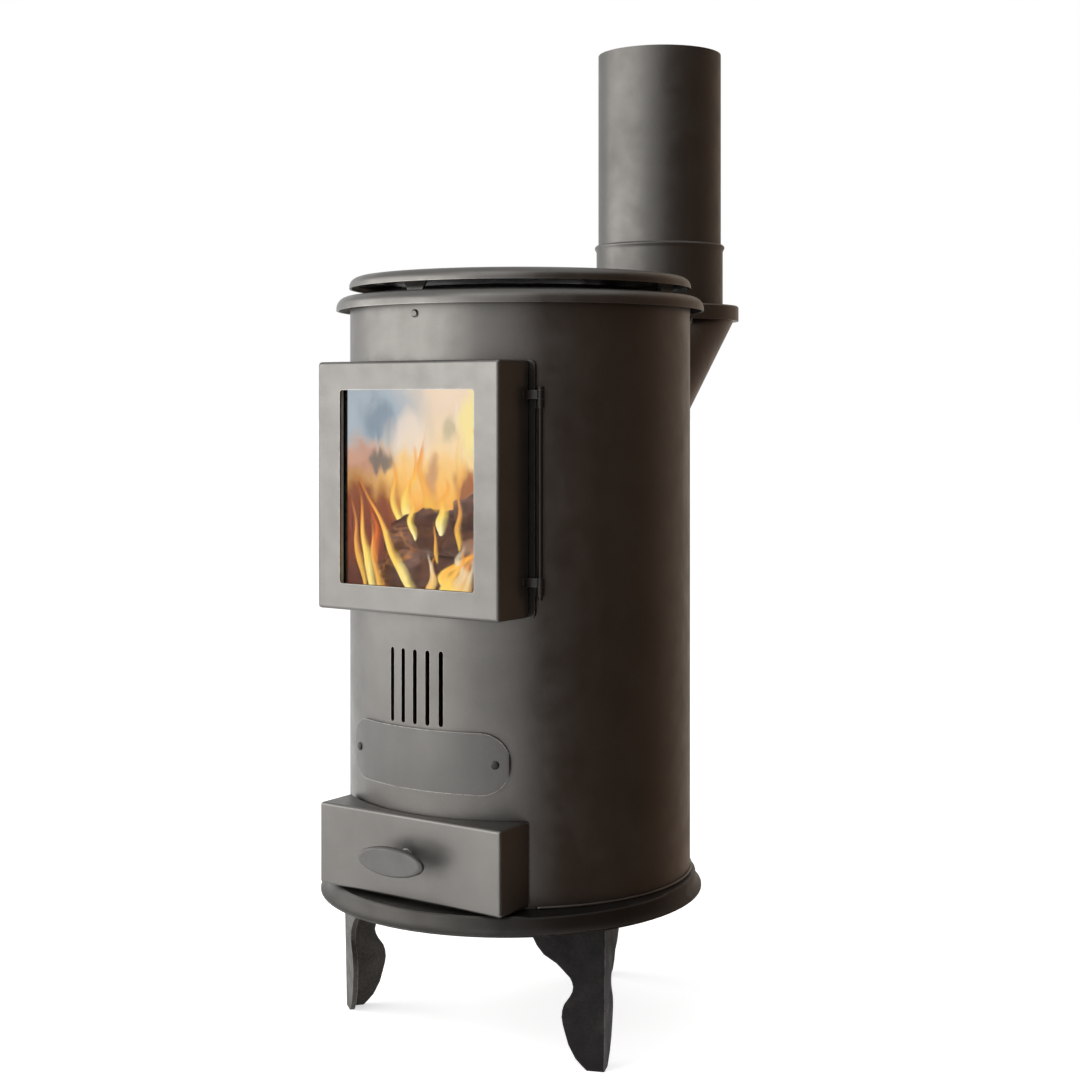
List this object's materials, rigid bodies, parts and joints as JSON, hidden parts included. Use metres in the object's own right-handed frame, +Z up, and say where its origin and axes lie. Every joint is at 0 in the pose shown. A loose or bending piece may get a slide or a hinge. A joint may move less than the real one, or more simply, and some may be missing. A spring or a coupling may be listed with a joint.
{
  "type": "wood stove",
  "caption": "Upright drum wood stove with a hinged glass door, ash drawer with oval knob, raised cooking disc, slanted rear flue and cast curved legs.",
  "frame": {"origin": "on the floor below the middle of the whole stove, flue and drawer knob included", "axes": "+Z up, door and drawer face -Y, flue at +Y, +X at the right when facing the door"},
  "size_m": [0.4062, 0.6226, 1.0924],
  "materials": {
    "stove_paint": "satin heat-proof paint",
    "cast_iron": "as cast, blacked",
    "plain_steel": "plain steel",
    "fire_brick": "dry fire clay",
    "glass": "clear stove glass",
    "seal_fibre": "woven glass fibre",
    "tray_steel": "bare sheet steel"
  },
  "bodies": {
    "frame": {"base_pan": "stove_paint", "cap_rivet_1": "plain_steel", "cap_rivet_2": "plain_steel", "cap_rivet_3": "plain_steel", "door_neck": "stove_paint", "drawer_collar": "stove_paint", "drum_shell": "stove_paint", "fire_brick_1": "fire_brick", "fire_brick_2": "fire_brick", "fire_brick_3": "fire_brick", "fire_brick_4": "fire_brick", "fire_brick_5": "fire_brick", "flame_baffle": "cast_iron", "flue_collar": "stove_paint", "flue_lid": "stove_paint", "flue_outlet": "stove_paint", "flue_pipe": "stove_paint", "grate": "cast_iron", "grate_ledge": "stove_paint", "hinge_plate": "stove_paint", "hinge_rod": "plain_steel", "latch_keeper": "plain_steel", "latch_plate": "stove_paint", "leg_bolt_left": "plain_steel", "leg_bolt_rear": "plain_steel", "leg_bolt_right": "plain_steel", "leg_left": "cast_iron", "leg_nut_left": "plain_steel", "leg_nut_rear": "plain_steel", "leg_nut_right": "plain_steel", "leg_rear": "cast_iron", "leg_right": "cast_iron", "name_plate": "stove_paint", "plate_screw_1": "plain_steel", "plate_screw_2": "plain_steel", "top_cap": "stove_paint", "top_disc": "stove_paint", "tray_runner_left": "tray_steel", "tray_runner_right": "tray_steel"},
    "door": {"door_glass": "glass", "door_panel": "stove_paint", "door_rope_seal": "seal_fibre", "glass_gasket": "seal_fibre", "glass_retainer": "stove_paint", "hinge_leaf_lower": "stove_paint", "hinge_leaf_upper": "stove_paint", "latch_pivot": "plain_steel", "retainer_stud_1": "plain_steel", "retainer_stud_2": "plain_steel", "retainer_stud_3": "plain_steel", "retainer_stud_4": "plain_steel"},
    "latch": {"latch_lever": "cast_iron", "latch_knob": "cast_iron"},
    "drawer": {"drawer_front": "stove_paint", "ash_tray": "tray_steel", "knob_stem": "stove_paint", "oval_knob": "stove_paint", "knob_screw": "plain_steel"}
  },
  "joints": [
    {"name": "door_hinge", "type": "hinge", "parent": "frame", "child": "door", "pos_m": [0.1275, -0.23025, 0.5806], "axis": [0, 0, 1], "range_deg": [0, 120]},
    {"name": "latch_turn", "type": "hinge", "parent": "door", "child": "latch", "pos_m": [-0.1234, -0.24825, 0.59], "axis": [1, 0, 0], "range_deg": [0, 26]},
    {"name": "drawer_slide", "type": "slide", "parent": "frame", "child": "drawer", "axis": [0, -1, 0], "range_m": [0, 0.22]}
  ]
}
